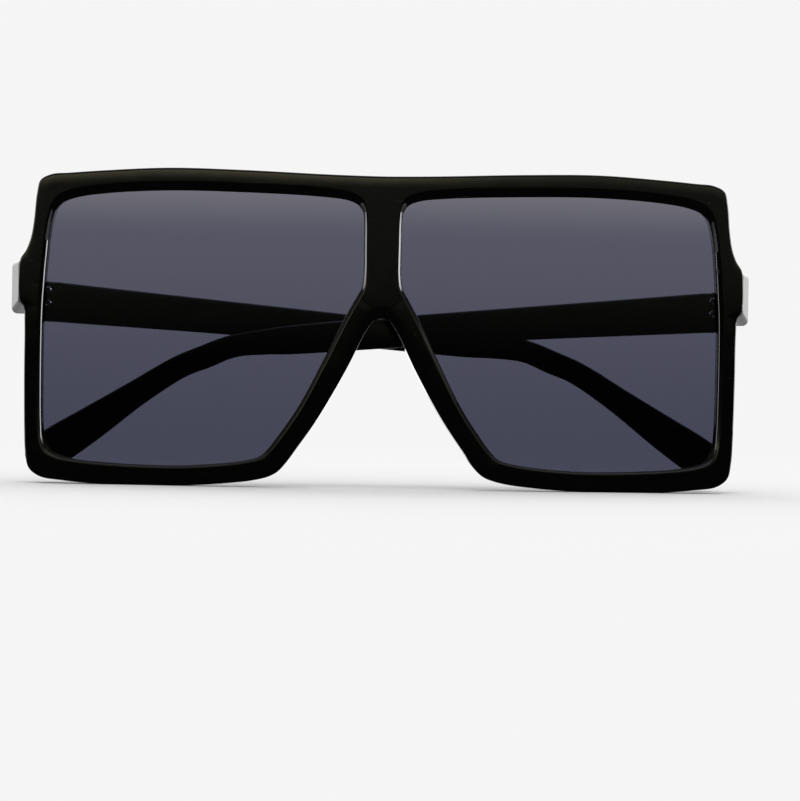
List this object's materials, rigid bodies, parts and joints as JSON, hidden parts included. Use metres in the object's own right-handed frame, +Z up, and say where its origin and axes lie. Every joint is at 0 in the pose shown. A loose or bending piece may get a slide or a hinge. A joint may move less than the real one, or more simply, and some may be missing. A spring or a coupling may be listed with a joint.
{
  "type": "folding sunglasses",
  "caption": "Oversized flat-top square sunglasses: one moulded front with a lens each side of a slim bridge, and temples that fold on screw hinges.",
  "frame": {"origin": "middle of the bounding box's base, with the temples folded and the front standing upright on its lower rims", "axes": "+X towards the wearer's left temple hinge, -Y the way the lenses face, +Z up"},
  "size_m": [0.147, 0.0205, 0.0624],
  "materials": {
    "frame_plastic": "polished black",
    "lens_plastic": "smoke grey-blue tint, polished",
    "black_metal": "black coated hinge leaf",
    "steel": "bright screw and rivet"
  },
  "bodies": {
    "front": {"front_frame": "frame_plastic", "lens_left": "lens_plastic", "lens_right": "lens_plastic", "hinge_front_leaf_left": "black_metal", "hinge_front_leaf_right": "black_metal", "hinge_screw_left": "steel", "hinge_screw_right": "steel"},
    "temple_arm_left": {"temple_left": "frame_plastic", "hinge_temple_leaf_left": "black_metal", "hinge_rivet_upper_left": "steel", "hinge_rivet_lower_left": "steel"},
    "temple_arm_right": {"temple_right": "frame_plastic", "hinge_temple_leaf_right": "black_metal", "hinge_rivet_upper_right": "steel", "hinge_rivet_lower_right": "steel"}
  },
  "joints": [
    {"name": "fold_left", "type": "hinge", "parent": "front", "child": "temple_arm_left", "pos_m": [0.0692, 0.0027, 0.037], "axis": [0, 0, -1], "range_deg": [0, 91.35]},
    {"name": "fold_right", "type": "hinge", "parent": "front", "child": "temple_arm_right", "pos_m": [-0.0692, 0.0027, 0.037], "axis": [0, 0, 1], "range_deg": [0, 88.65]}
  ]
}
